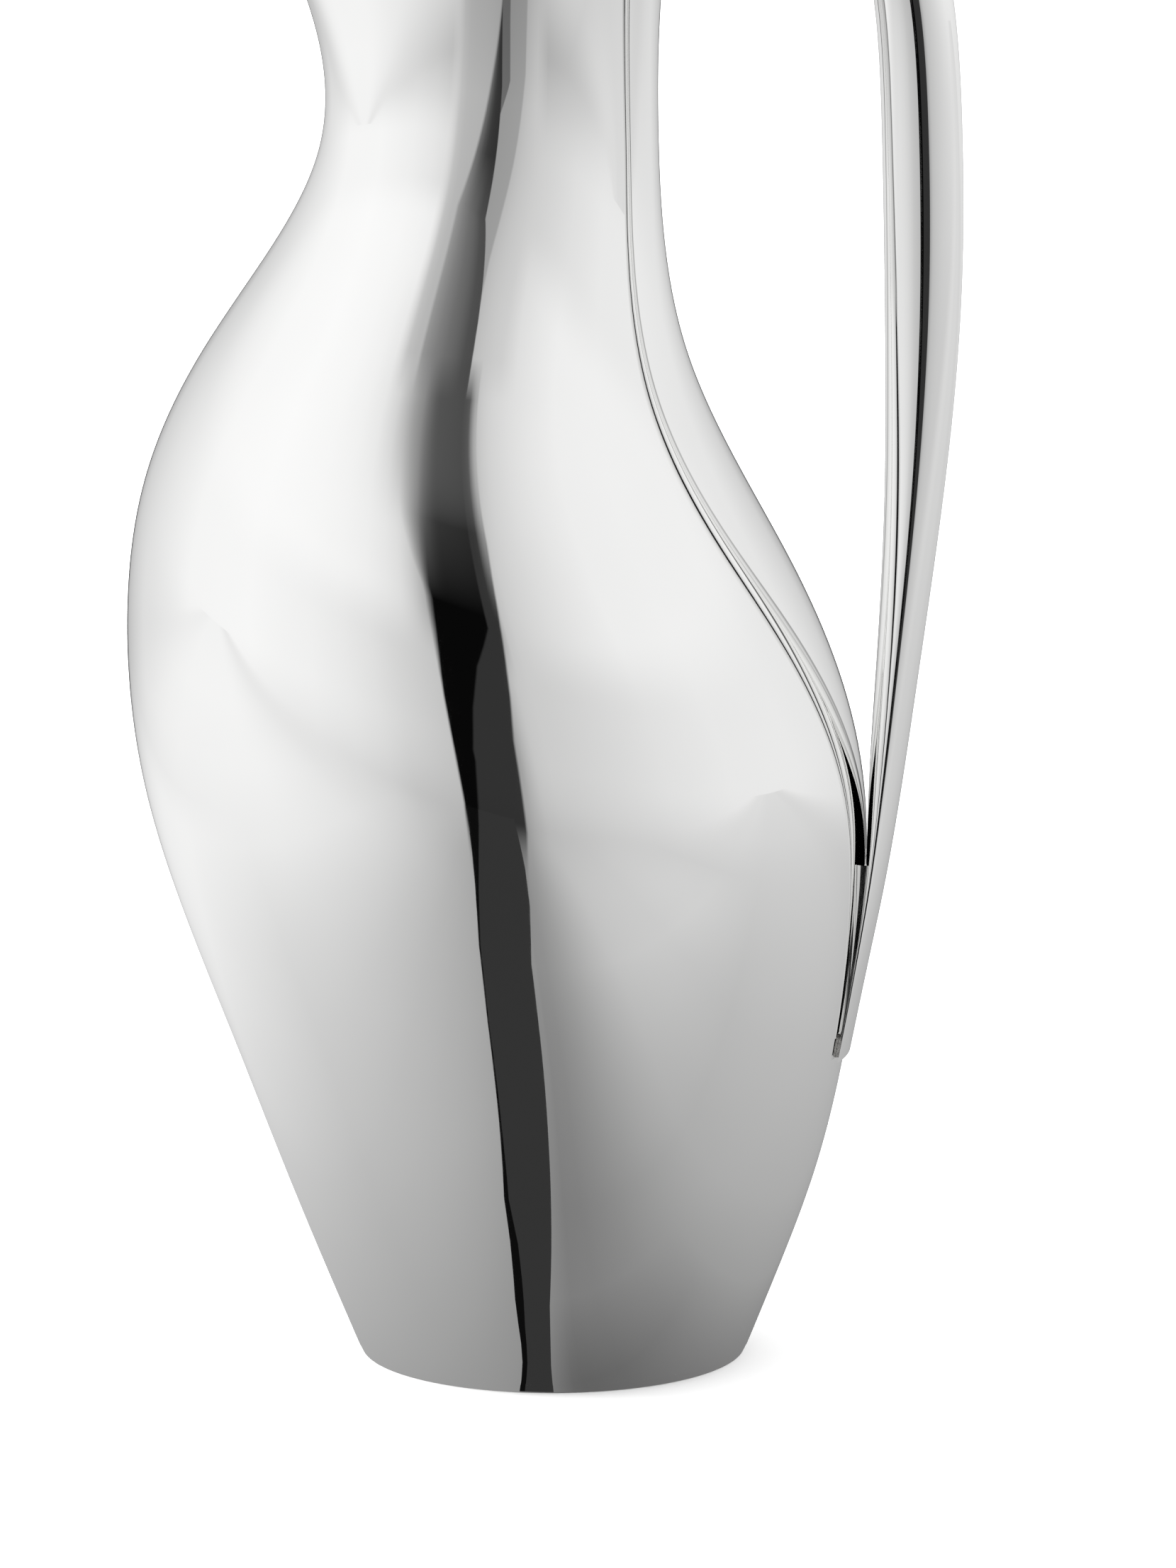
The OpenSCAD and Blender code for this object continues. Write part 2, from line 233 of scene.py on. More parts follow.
def grid_faces(rows, cols, start, wrap=False, flip=False):
    """Faces over a grid of points, whose outside is on the right when looking up the columns."""
    j, i = np.meshgrid(np.arange(rows - 1), np.arange(cols if wrap else cols - 1), indexing="ij")
    n = (i + 1) % cols
    quads = np.stack([j * cols + i, j * cols + n, (j + 1) * cols + n, (j + 1) * cols + i], -1)
    quads = quads.reshape(-1, 4) + start
    return quads[:, ::-1] if flip else quads


def sheet(name, outer, inner, outer_normals, inner_normals, flip=False):
    """A thin bent sheet between two grids of points, closed along its four edges."""
    rows, cols = outer.shape[:2]
    count = rows * cols
    points = np.concatenate([outer.reshape(-1, 3), inner.reshape(-1, 3)])
    normals = np.concatenate([outer_normals.reshape(-1, 3), inner_normals.reshape(-1, 3)])
    sides = np.concatenate([
        grid_faces(rows, cols, 0, flip=flip),
        grid_faces(rows, cols, count, flip=not flip),
    ])
    first, last = np.arange(rows) * cols, np.arange(rows) * cols + cols - 1
    low, top = np.arange(cols), np.arange(cols) + (rows - 1) * cols

    def strip(line, turned):
        a, b = line[:-1], line[1:]
        quads = np.stack([a, b, b + count, a + count], -1)
        return quads[:, ::-1] if turned else quads

    edges = np.concatenate([
        strip(first, flip), strip(last, not flip), strip(low, not flip), strip(top, flip),
    ])
    edge_points = points[edges]
    across = np.cross(edge_points[:, 2] - edge_points[:, 0], edge_points[:, 3] - edge_points[:, 1])
    corner_normals = np.concatenate([
        normals[sides.ravel()],
        np.repeat(unit(across), 4, axis=0),
    ])
    return new_piece(name, points, np.concatenate([sides, edges]), corner_normals)


def lathe(name, profile, segments=256):
    """A ring or plate turned from a closed profile of radius and height; radius 0 makes a pole."""
    angles = np.arange(segments) / segments * 2 * np.pi
    points, rings = [], []
    for radius, z in profile:
        if radius == 0:
            rings.append([len(points)] * segments)
            points.append((0, 0, z))
            continue
        rings.append(list(range(len(points), len(points) + segments)))
        points.extend((radius * math.cos(a), radius * math.sin(a), z) for a in angles)
    faces = []
    for k in range(len(rings)):
        lower, upper = rings[k], rings[(k + 1) % len(rings)]
        for i in range(segments):
            n = (i + 1) % segments
            corners = dict.fromkeys([lower[i], lower[n], upper[n], upper[i]])
            if len(corners) > 2:
                faces.append(list(corners))
    return new_piece(name, points, faces)


def arc(centre, radius, start, end, steps=8):
    """Points of a profile's round corner, with angles in degrees."""
    angles = np.radians(np.linspace(start, end, steps))
    return [(centre[0] + radius * math.cos(a), centre[1] + radius * math.sin(a)) for a in angles]


def tube_ring(name, sections, closed):
    """A tube through rings of points, wrapped round each ring and, if closed, end to end."""
    rows, cols = sections.shape[:2]
    if closed:
        sections = np.concatenate([sections, sections[:1]])
        faces = grid_faces(rows + 1, cols, 0, wrap=True) % (rows * cols)
        sections = sections[:-1]
    else:
        faces = grid_faces(rows, cols, 0, wrap=True)
        ends = [list(range(cols))[::-1], list(range((rows - 1) * cols, rows * cols))]
        faces = [list(f) for f in faces] + ends
    return new_piece(name, sections.reshape(-1, 3), [list(f) for f in faces])


# ---------------------------------------------------------------- body, mouth and foot


def body_grid(t_start, t_end, cols):
    """Levels and angles of a stretch of the skin, from the foot to the edge of the mouth."""
    share = np.linspace(0, 1, cols)
    t = np.broadcast_to(t_start + (t_end - t_start) * share, (BODY_ROWS + 1, cols))
    top = body_level(rim_height(t[0]))
    u = np.linspace(0, 1, BODY_ROWS + 1)[:, None] * top
    return u, t


def body_sheet(name, u, t):
    outer, normals = skin(u, t), skin_normal(u, t)
    return sheet(name, outer, outer - WALL * normals, normals, -normals)


def body_half(name, side):
    """One half of the body: side is -1 for the near half and 1 for the far one."""
    u, t = body_grid(0, math.pi, BODY_COLS)
    back, front = seam_angles(u)
    t = back + (math.pi - front - back) * t / math.pi
    if side < 0:
        u, t = u[:, ::-1], -t[:, ::-1]
    return body_sheet(name, u, t)


def seam_solder(name, middle):
    """The flush line of solder between the halves, at the back (0) or the front (pi)."""
    u, share = body_grid(-1, 1, SEAM_COLS)
    top = body_level(rim_height(np.full(SEAM_COLS, middle)))
    u = np.linspace(0, 1, BODY_ROWS + 1)[:, None] * top
    back, front = seam_angles(u)
    return body_sheet(name, u, middle + share * (front if middle else back))


def rim_bead(name):
    """The half-round bead along the edge of the mouth."""
    t = np.linspace(0, 2 * np.pi, BEAD_ROWS, endpoint=False)
    u = body_level(rim_height(t))
    outwards = skin_normal(u, t)
    along = unit(skin(u, t + 0.005) - skin(u, t - 0.005))
    upwards = unit(np.cross(outwards, along))
    middle = skin(u, t) - WALL / 2 * outwards
    a = np.linspace(0, np.pi, BEAD_STEPS)
    bulge = np.stack([BEAD_WIDTH / 2 * np.cos(a), BEAD_HEIGHT * np.sin(a)], -1)
    under = np.array([(-0.5, -0.12), (0.0, -0.14), (0.5, -0.12)]) * (BEAD_WIDTH, BEAD_HEIGHT)
    section = np.concatenate([bulge, under])
    rings = (
        middle[:, None]
        + section[None, :, :1] * outwards[:, None]
        + section[None, :, 1:] * upwards[:, None]
    )
    return tube_ring(name, rings, closed=True)


def foot_ring(name):
    """The flat ring that the pitcher stands on, its outer face in line with the body."""
    outer = FOOT_RADIUS - FOOT_TAPER
    inner = outer - FOOT_FLAT
    profile = (
        [(inner + FOOT_ROUND, FOOT_HEIGHT)]
        + arc((inner + FOOT_ROUND, FOOT_HEIGHT - FOOT_ROUND), FOOT_ROUND, 90, 180)
        + arc((inner + FOOT_ROUND, FOOT_ROUND), FOOT_ROUND, 180, 270)
        + arc((outer - FOOT_ROUND, FOOT_ROUND), FOOT_ROUND, 270, 340)
        + [(FOOT_RADIUS, FOOT_HEIGHT)]
    )
    return lathe(name, profile)


def bottom_plate(name):
    """The plate that closes the body, pressed very slightly hollow."""
    top = FOOT_HEIGHT + BOTTOM_THICKNESS
    rings = 14
    radii = [BOTTOM_EDGE * k / rings for k in range(1, rings)]
    upper = [(r, top - BOTTOM_HOLLOW * (1 - (r / BOTTOM_EDGE) ** 2)) for r in reversed(radii)]
    rim = [(BOTTOM_EDGE, FOOT_HEIGHT), (BOTTOM_EDGE, top)]
    return lathe(name, [(0, FOOT_HEIGHT)] + rim + upper + [(0, top - BOTTOM_HOLLOW)])


def bottom_seam_solder(name):
    """The hollow fillet of solder around the bottom plate."""
    top = FOOT_HEIGHT + BOTTOM_THICKNESS
    corner = (BOTTOM_EDGE - BOTTOM_FILLET, top + BOTTOM_FILLET)
    wall = [(BOTTOM_EDGE, top), (BOTTOM_EDGE + BOTTOM_FILLET_LEAN, top + BOTTOM_FILLET)]
    return lathe(name, wall + arc(corner, BOTTOM_FILLET, 0, -90))


# ---------------------------------------------------------------- handle


def handle_level(z):
    return level_of(HANDLE, 1, z, HANDLE_RISING_ROWS)


def handle_point(v, n, y):
    """The point at level v that lies n outwards from the handle's middle surface, at depth y."""
    step = 1e-2
    s = spline(HANDLE, v)
    ahead = spline(HANDLE, np.minimum(v + step, HANDLE_END))[..., :2]
    behind = spline(HANDLE, np.maximum(v - step, 0))[..., :2]
    along = unit(ahead - behind)
    upright = smooth((v - HANDLE_END + HEAD_ROWS) / HEAD_ROWS)[..., None]
    square = np.stack([along[..., 1], -along[..., 0]], -1)
    outwards = unit((1 - upright) * square + upright * np.array([0.0, 1.0]))
    follow = smooth((BEND_HIGH - s[..., 1]) / (BEND_HIGH - BEND_LOW))
    wrap = follow * (back_x(y, s[..., 1]) - back_x(np.zeros(np.shape(y)), s[..., 1]))
    x = s[..., 0] + n * outwards[..., 0] + wrap
    z = s[..., 1] + n * outwards[..., 1]
    return np.stack([x, y, z], -1)


def shell_surface(v, a, side, inset):
    s = spline(HANDLE, v)
    gap = HANDLE_SEAM / 2
    rise = np.maximum(s[..., 2] - gap - inset, 0)
    half_width = s[..., 3] - inset
    return handle_point(v, side * (gap + rise * np.sin(a)), -side * half_width * np.cos(a))


def shell_normal(v, a, side):
    step = 2e-3
    low, high = np.maximum(v - step, 0), np.minimum(v + step, HANDLE_END)
    along = shell_surface(high, a, side, 0) - shell_surface(low, a, side, 0)
    around = shell_surface(v, a + step, side, 0) - shell_surface(v, a - step, side, 0)
    return unit(np.cross(around, along))


def handle_shell(name, side, start):
    v, a = np.meshgrid(
        np.linspace(start, HANDLE_END, HANDLE_ROWS + 1),
        np.linspace(0, np.pi, HANDLE_COLS + 1),
        indexing="ij",
    )
    outer, inner = shell_surface(v, a, side, 0), shell_surface(v, a, side, HANDLE_WALL)
    normals = shell_normal(v, a, side)
    return sheet(name, outer, inner, normals, -normals)


def handle_seam_solder(name):
    """The flush lines of solder along both sides of the handle, as one piece."""
    gap = HANDLE_SEAM / 2
    v = np.linspace(float(handle_level(INNER_SHELL_FOOT)), HANDLE_END, HANDLE_ROWS + 1)
    edge = spline(HANDLE, v)[:, 3]
    points, faces = [], []
    for side in (-1, 1):
        corners = [(-gap, 0), (gap, 0), (gap, HANDLE_WALL), (-gap, HANDLE_WALL)]
        rings = np.stack([handle_point(v, n, side * (edge - depth)) for n, depth in corners], 1)
        start = len(points)
        points.extend(rings.reshape(-1, 3))
        quads = grid_faces(len(v), 4, start, wrap=True, flip=side < 0)
        last = start + 4 * (len(v) - 1)
        ends = np.array([(start + 3, start + 2, start + 1, start), (last, last + 1, last + 2, last + 3)])
        faces.extend(np.concatenate([quads, ends if side > 0 else ends[:, ::-1]]))
    return new_piece(name, points, faces)


def head_outline(grow, count):
    """Depths and heights of the handle's end section, grown by a factor."""
    s = spline(HANDLE, HANDLE_END)
    a = np.linspace(0, 2 * np.pi, count, endpoint=False)
    return -grow * s[3] * np.cos(a), s[1] + grow * s[2] * np.sin(a)


def handle_head_saddle(name):
    """The saddle that closes the handle's head and flares out onto the neck."""
    count = 96
    head_x = spline(HANDLE, HANDLE_END)[0]
    rings = []
    for scale in (0.03, 0.5, 0.9):
        y, z = head_outline(scale, count)
        rings.append(np.stack([np.full(count, head_x), y, z], -1))
    steps = 12
    for k in range(steps + 1):
        f = k / steps
        y, z = head_outline(1 + (HEAD_FLARE - 1) * (1 - math.sqrt(1 - f * f)), count)
        wall = back_x(y, z) + HEAD_GAP
        rings.append(np.stack([head_x + (wall - head_x) * f, y, z], -1))
    for scale in (0.8, 0.4, 0.03):
        y, z = head_outline(scale * HEAD_FLARE, count)
        rings.append(np.stack([back_x(y, z) + HEAD_GAP, y, z], -1))
    return tube_ring(name, np.array(rings)[::-1], closed=False)


def handle_head_solder(name):
    """A thin rounded line of solder where the saddle meets the neck."""
    count, sides, radius = 120, 10, HEAD_SOLDER_RADIUS
    y, z = head_outline(HEAD_FLARE * 1.01, count)
    line = np.stack([back_x(y, z) + radius * 0.6, y, z], -1)
    centre = line.mean(0)
    outwards = unit((line - centre) * (0, 1, 1))
    a = np.linspace(0, 2 * np.pi, sides, endpoint=False)
    rings = (
        line[:, None]
        + radius * np.cos(a)[None, :, None] * outwards[:, None]
        + radius * np.sin(a)[None, :, None] * np.array([1.0, 0, 0])
    )
    return tube_ring(name, rings, closed=True)


def handle_foot_solder(name):
    """The rough solder between the tongue and the body, which shows at the tongue's end."""
    rows, cols = 70, 40
    z = np.linspace(FOOT_SOLDER_LOW, FOOT_SOLDER_TOP, rows + 1)
    v, across = np.meshgrid(handle_level(z), np.linspace(-1, 1, cols + 1), indexing="ij")
    s = spline(HANDLE, v)
    a = np.arccos(-across)
    behind = smooth((z[:, None] - INNER_SHELL_FOOT) / FOOT_SOLDER_BREAK)
    depth = behind * (HANDLE_SEAM / 2 + np.maximum(s[..., 2] - HANDLE_SEAM / 2, 0) * np.sin(a))
    edge = BARE_SOLDER_EDGE + (HIDDEN_SOLDER_EDGE - BARE_SOLDER_EDGE) * behind
    y = (s[..., 3] - edge) * across
    outer = handle_point(v, -depth, y) - (FOOT_SOLDER_CLEARANCE, 0, 0)
    inner = outer.copy()
    inner[..., 0] = back_x(outer[..., 1], outer[..., 2]) + FOOT_SOLDER_CLEARANCE
    out = np.broadcast_to(np.array([1.0, 0, 0]), outer.shape)
    return sheet(name, outer, inner, out, -out)


# ---------------------------------------------------------------- materials


class Nodes:
    """A material's node tree with short calls for adding and joining nodes."""

    def __init__(self, tree):
        self.tree = tree
        tree.nodes.clear()

    def add(self, kind, settings=None, **inputs):
        node = self.tree.nodes.new("ShaderNode" + kind)
        for key, value in (settings or {}).items():
            setattr(node, key, value)
        for key, value in inputs.items():
            self.set(node, key.replace("_", " "), value)
        return node

    def set(self, node, key, value):
        """Joins value to the socket of that name or index, or sets it there if it isn't a socket."""
        socket = node.inputs[key]
        if isinstance(value, bpy.types.NodeSocket):
            self.tree.links.new(value, socket)
        else:
            socket.default_value = value

    def math(self, operation, a, b=0.0):
        node = self.add("Math", {"operation": operation})
        self.set(node, 0, a)
        self.set(node, 1, b)
        return node.outputs[0]

    def scaled(self, colour, strength):
        node = self.add("VectorMath", {"operation": "SCALE"}, Scale=strength)
        self.set(node, 0, colour)
        return node.outputs[0]

    def noise(self, vector, scale, detail=2.0, roughness=0.5):
        node = self.add("TexNoise", Vector=vector, Scale=scale, Detail=detail, Roughness=roughness)
        return node.outputs["Fac"]

    def spread(self, value, low, high, from_low=0.3, from_high=0.7):
        """Goes straight from low to high while value goes from from_low to from_high."""
        node = self.add("MapRange", Value=value)
        ends = {"From Min": from_low, "From Max": from_high, "To Min": low, "To Max": high}
        for key, end in ends.items():
            self.set(node, key, end)
        return node.outputs["Result"]

    def ease(self, value, low, high, from_low, from_high):
        """The same with soft ends."""
        result = self.spread(value, low, high, from_low, from_high)
        result.node.interpolation_type = "SMOOTHSTEP"
        return result

    def bump(self, height, distance, under=None):
        node = self.add("Bump", Height=height, Distance=distance, Strength=1.0)
        if under is not None:
            self.set(node, "Normal", under)
        return node.outputs["Normal"]

    def degrees(self, angle):
        return self.math("MULTIPLY", angle, 180 / math.pi)

    def mixed(self, factor, a, b):
        node = self.add("Mix", {"data_type": "RGBA"}, Factor=factor, A=a, B=b)
        return node.outputs["Result"]

    def blend(self, factor, a, b):
        return self.mixed(factor, (*a, 1), (*b, 1))

    def shown(self, kind, shader):
        """Joins a shader to the tree's output node."""
        self.add(kind, Surface=shader.outputs[0])

    def layered(self, cover, below, above):
        """One shader over another, by cover."""
        node = self.add("MixShader")
        for index, value in enumerate((cover, below.outputs[0], above.outputs[0])):
            self.set(node, index, value)
        return node


def new_nodes(name):
    """A new material and its empty node tree."""
    material = bpy.data.materials.new(name)
    material.use_nodes = True
    return material, Nodes(material.node_tree)


# Sizes of the metal's irregularities, as noise scales per metre, and how deep the hammering is
DRIFT_SCALE = 22
SWELL_SCALE = 38
HAMMER_SCALE = 150
HAMMER_SHARE = 0.07


def metal(name, light, dark, gloss, wave, scratch, lay=(1, 1, 0.06), grain=1400):
    """A metal whose colour drifts from light to dark, with faint waves and scratches in its polish."""
    material, n = new_nodes(name)
    place = n.add("TexCoord").outputs["Object"]
    laid = n.add("Mapping", Vector=place, Scale=lay).outputs["Vector"]
    drift = n.noise(place, DRIFT_SCALE, 3)
    lines = n.noise(laid, grain, 3, 0.6)
    swell = n.noise(place, SWELL_SCALE, 1)
    hammer = n.noise(place, HAMMER_SCALE, 1)
    normal = n.bump(swell, wave)
    normal = n.bump(hammer, wave * HAMMER_SHARE, normal)
    normal = n.bump(lines, scratch, normal)
    shader = n.add("BsdfPrincipled", Metallic=1.0, Normal=normal)
    n.set(shader, "Base Color", n.blend(n.spread(drift, 0, 1), light, dark))
    n.set(shader, "Roughness", n.spread(lines, gloss[0], gloss[1]))
    n.shown("OutputMaterial", shader)
    return material


def polished_silver():
    light, dark = (0.97, 0.97, 0.965), (0.945, 0.945, 0.94)
    return metal("polished_silver", light, dark, (0.012, 0.035), wave=2.5e-5, scratch=1e-7)


def inner_silver():
    light, dark = (0.88, 0.88, 0.87), (0.80, 0.80, 0.785)
    return metal("inner_silver", light, dark, (0.24, 0.38), 4e-5, 4e-6, lay=(1, 1, 0.1), grain=700)


def seam_silver():
    light, dark = (0.93, 0.93, 0.925), (0.90, 0.90, 0.89)
    return metal("seam_silver", light, dark, (0.03, 0.09), wave=2.5e-5, scratch=3e-7)


def rough_solder():
    """Silver solder as it set: grey, grainy and pitted."""
    material, n = new_nodes("rough_solder")
    place = n.add("TexCoord").outputs["Object"]
    lumps = n.noise(place, 1600, 4, 0.65)
    pits = n.add("TexVoronoi", Vector=place, Scale=2600).outputs["Distance"]
    normal = n.bump(lumps, 0.00035)
    normal = n.bump(pits, 0.00008, normal)
    shader = n.add("BsdfPrincipled", Metallic=0.9, Normal=normal)
    n.set(shader, "Base Color", n.blend(n.spread(lumps, 0, 1), (0.36, 0.35, 0.34), (0.72, 0.71, 0.69)))
    n.set(shader, "Roughness", n.spread(lumps, 0.28, 0.6))
    n.shown("OutputMaterial", shader)
    return material


# ---------------------------------------------------------------- studio

CAMERA_AZIMUTH = math.radians(5)
CAMERA_ELEVATION = math.radians(12.6)
CAMERA_DISTANCE = 3.0
CAMERA_AIM = Vector((0.0062, 0, 0.10225))
VIEW_HEIGHT = 0.2765
SENSOR = 36.0

FLOOR_REACH = 30
TABLE_REACH = 4
TABLE_BACK = -0.62
TABLE_FRONT = 0.55
CARD_STEP = 0.0001
LAMP_PLACE = (-1.35, 0.05, 1.35)
LAMP_SIZE = (1.2, 1.0)
LAMP_ENERGY = 26

# What the tent shows at each azimuth from the camera, in degrees (positive to the right), as
# screen brightness: past the table's edge, at eye level, above it and overhead
LOW_TENT = [
    (-180, 0.05), (-173, 0.10), (-166, 0.75), (-140, 0.88), (-105, 0.90), (-75, 0.90), (-52, 0.89),
    (-40, 0.865), (-31, 0.83), (-24, 0.785), (-19, 0.765), (-15, 0.75), (-9, 0.73), (7, 0.62), (9, 0.68),
    (11, 0.71), (13, 0.74), (17, 0.76), (22, 0.775), (30, 0.795), (40, 0.81), (75, 0.84), (105, 0.86),
    (140, 0.88), (166, 0.75), (173, 0.10), (180, 0.05),
]
LEVEL_TENT = [
    (-180, 0.60), (-165, 0.74), (-157, 0.82), (-135, 0.89), (-105, 0.965), (-75, 0.97),
    (-52, 0.94), (-40, 0.91), (-31, 0.875), (-24, 0.835), (-19, 0.81), (-15, 0.79), (-10, 0.765),
    (8, 0.60), (9, 0.66), (11, 0.73), (13, 0.775), (17, 0.795), (22, 0.805), (30, 0.825), (40, 0.85),
    (52, 0.88), (75, 0.915), (105, 0.92), (135, 0.90), (157, 0.82), (165, 0.74), (180, 0.60),
]
BLACK_TENT = [
    (-180, 0.75), (-165, 0.85), (-135, 0.92), (-105, 0.975), (-75, 0.985), (-52, 0.97), (-40, 0.955),
    (-31, 0.935), (-24, 0.905), (-19, 0.87), (-15, 0.80), (-11, 0.68), (-9, 0.50), (9, 0.50), (12, 0.60),
    (14, 0.76), (17, 0.80), (22, 0.83), (30, 0.865), (40, 0.90), (52, 0.935), (75, 0.945), (105, 0.945),
    (135, 0.92), (165, 0.85), (180, 0.75),
]
HIGH_TENT = [
    (-180, 0.80), (-135, 0.93), (-75, 0.985), (-52, 0.965), (-40, 0.94), (-31, 0.90), (-24, 0.80),
    (-19, 0.65), (-15, 0.54), (-11, 0.495), (-9, 0.46), (-7, 0.39), (-5, 0.31), (-3, 0.275), (0, 0.26),
    (5, 0.24), (9.5, 0.22), (11.5, 0.26), (13.5, 0.68), (16, 0.76), (20, 0.82), (30, 0.88), (40, 0.92),
    (75, 0.965), (135, 0.93), (180, 0.80),
]
TENT_BLENDS = ((-14, 0), (12, 24), (31, 46))
TENT_GAIN = 1.04
FLOOR_GAIN = 2.6
WHITE_GAIN = 1.2

# The dark opening's edges in the tent, and how soft its left one is, in degrees: at the lowest
# height, then how far they move over each stretch of height, as (change, from, to)
LEFT_EDGE = (-12, (1.8, -26, -12), (0.5, 6, 18), (-3.3, 24, 34))
RIGHT_EDGE = (4.6, (2, -22, -14), (1.4, -14, 2), (2, 2, 10), (5, 10, 34))
BLACK_EDGE = (-7.2, (2.7, -16, -4), (2.6, -2, 6), (3.8, 6, 14), (6.5, 14, 22))
LEFT_SOFTNESS = (0.35, (1, 8, 24), (4.5, 26, 36))
OPENING_GREY = 0.193
OPENING_BLACK = 0.03

# Painted light and shade of the table as the silver shows it, lighter on the left and darkest beside the
# opening, at distances to the left and the right, in metres
TABLE_LEFT = [
    (-4, 0.955), (-0.7, 0.96), (-0.4, 0.95), (-0.25, 0.92), (-0.17, 0.855), (-0.12, 0.79), (-0.087, 0.735),
    (-0.065, 0.70), (-0.047, 0.67), (-0.035, 0.645), (-0.026, 0.625), (-0.016, 0.595), (-0.008, 0.57),
]
TABLE_RIGHT = [
    (0.006, 0.49), (0.015, 0.50), (0.024, 0.525), (0.033, 0.55), (0.047, 0.59), (0.065, 0.635),
    (0.087, 0.675), (0.12, 0.70), (0.17, 0.725), (0.25, 0.765), (0.4, 0.80), (0.7, 0.835), (4, 0.865),
]
TABLE_BEND = 0.12
TABLE_GREY = 0.20
TABLE_BLACK = 0.05

# The dark opening on the table, as distances to the right and towards the camera: its left side,
# the line where its black part turns grey, and its right side
OPENING_LEFT = [
    (-0.0055, 0.031), (-0.0062, 0.036), (-0.0070, 0.040), (-0.0083, 0.044), (-0.0100, 0.048),
    (-0.0125, 0.054), (-0.0145, 0.060), (-0.018, 0.070), (-0.024, 0.085), (-0.030, 0.110),
    (-0.0385, 0.145), (-0.047, 0.190), (-0.055, 0.255), (-0.0665, 0.335), (-0.083, 0.440),
    (-0.10, 0.56),
]
OPENING_EDGE = [
    (-0.0046, 0.031), (-0.0052, 0.036), (-0.0058, 0.040), (-0.0068, 0.044), (-0.0080, 0.048),
    (-0.0095, 0.054), (-0.0112, 0.060), (-0.0145, 0.070), (-0.0215, 0.085), (-0.0285, 0.110),
    (-0.0375, 0.145), (-0.0455, 0.190), (-0.051, 0.255), (-0.056, 0.335), (-0.062, 0.440),
    (-0.070, 0.56),
]
OPENING_RIGHT = [
    (0.0005, 0.030), (-0.0004, 0.040), (-0.0010, 0.054), (-0.0005, 0.070), (0.0, 0.110),
    (0.001, 0.190), (0.010, 0.255), (0.016, 0.335), (0.020, 0.440), (0.024, 0.56),
]

# Painted reflections of the opening close by, which the neck and shoulder show, by angle from the neck: left
# of the opening, across it from its soft left side to its crisp right side low down and high up, and right
NECK_LEFT = [(-30, 0.88), (-26, 0.82), (-23, 0.75), (-20, 0.72), (-17, 0.71), (-8, 0.695), (0, 0.67)]
NECK_LOW = [(0, 0.45), (0.13, 0.40), (0.31, 0.305), (0.5, 0.235), (0.67, 0.21), (1, 0.19)]
NECK_HIGH = [(0, 0.60), (0.1, 0.55), (0.23, 0.495), (0.42, 0.43), (0.6, 0.385), (0.8, 0.31), (1, 0.29)]
NECK_RIGHT = [(-10, 0.60), (-0.6, 0.62), (0.2, 0.725), (3, 0.75), (6, 0.77), (10, 0.79), (20, 0.83)]
NECK_STRIP = 0.42
NECK_LEFT_EDGE = (-2.5, (-12.5, -18, 10), (-2, 10, 14))
NECK_DARK_EDGE = (-2.5, (2.1, -18, -8), (17, 13, 27))
NECK_BRIGHT_EDGE = (13.5, (-7, -10, 16))
NECK_CENTRE = (-0.0145, 0, 0.215)
NECK_BOWL = 0.15
NECK_SPAN = 60
NECK_LOW_END = -24
NECK_HIGH_END = 32


def linear(brightness):
    """Scene light for a screen brightness from 0 to 1."""
    if brightness <= 0.04045:
        return brightness / 12.92
    return ((brightness + 0.055) / 1.055) ** 2.4


def grey(brightness):
    return (linear(brightness),) * 3 + (1,)


def light_ramp(n, factor, stops):
    """A ramp of screen brightnesses, whose stops lie between 0 and 1."""
    ramp = n.add("ValToRGB", Fac=factor)
    elements = ramp.color_ramp.elements
    while len(elements) < len(stops):
        elements.new(0.5)
    for element, (where, brightness) in zip(elements, stops):
        element.position = where
        element.color = grey(brightness)
    return ramp.outputs["Color"]


def angle_ramp(n, angle, stops, span):
    """A ramp over angles from -span / 2 to span / 2."""
    factor = n.math("ADD", n.math("DIVIDE", angle, span), 0.5)
    return light_ramp(n, factor, [(where / span + 0.5, brightness) for where, brightness in stops])


def look(n, vector):
    """A direction's azimuth from the camera, positive to the right, and its height, in degrees."""
    parts = n.add("SeparateXYZ", Vector=vector).outputs
    azimuth = n.degrees(n.math("ARCTAN2", parts["X"], n.math("MULTIPLY", parts["Y"], -1)))
    return azimuth, n.degrees(n.math("ARCSINE", parts["Z"]))


def climb(n, value, start, *steps):
    """A broken line over value: start, then each step's (rise, from, to) added."""
    total = start
    for rise, low, high in steps:
        total = n.math("ADD", n.spread(value, 0, rise, low, high), total)
    return total


def over(n, value, edge, softness):
    """Goes from 0 to 1 where value passes edge."""
    past = n.math("DIVIDE", n.math("SUBTRACT", value, edge), softness)
    return n.spread(past, 0, 1, -1, 1)


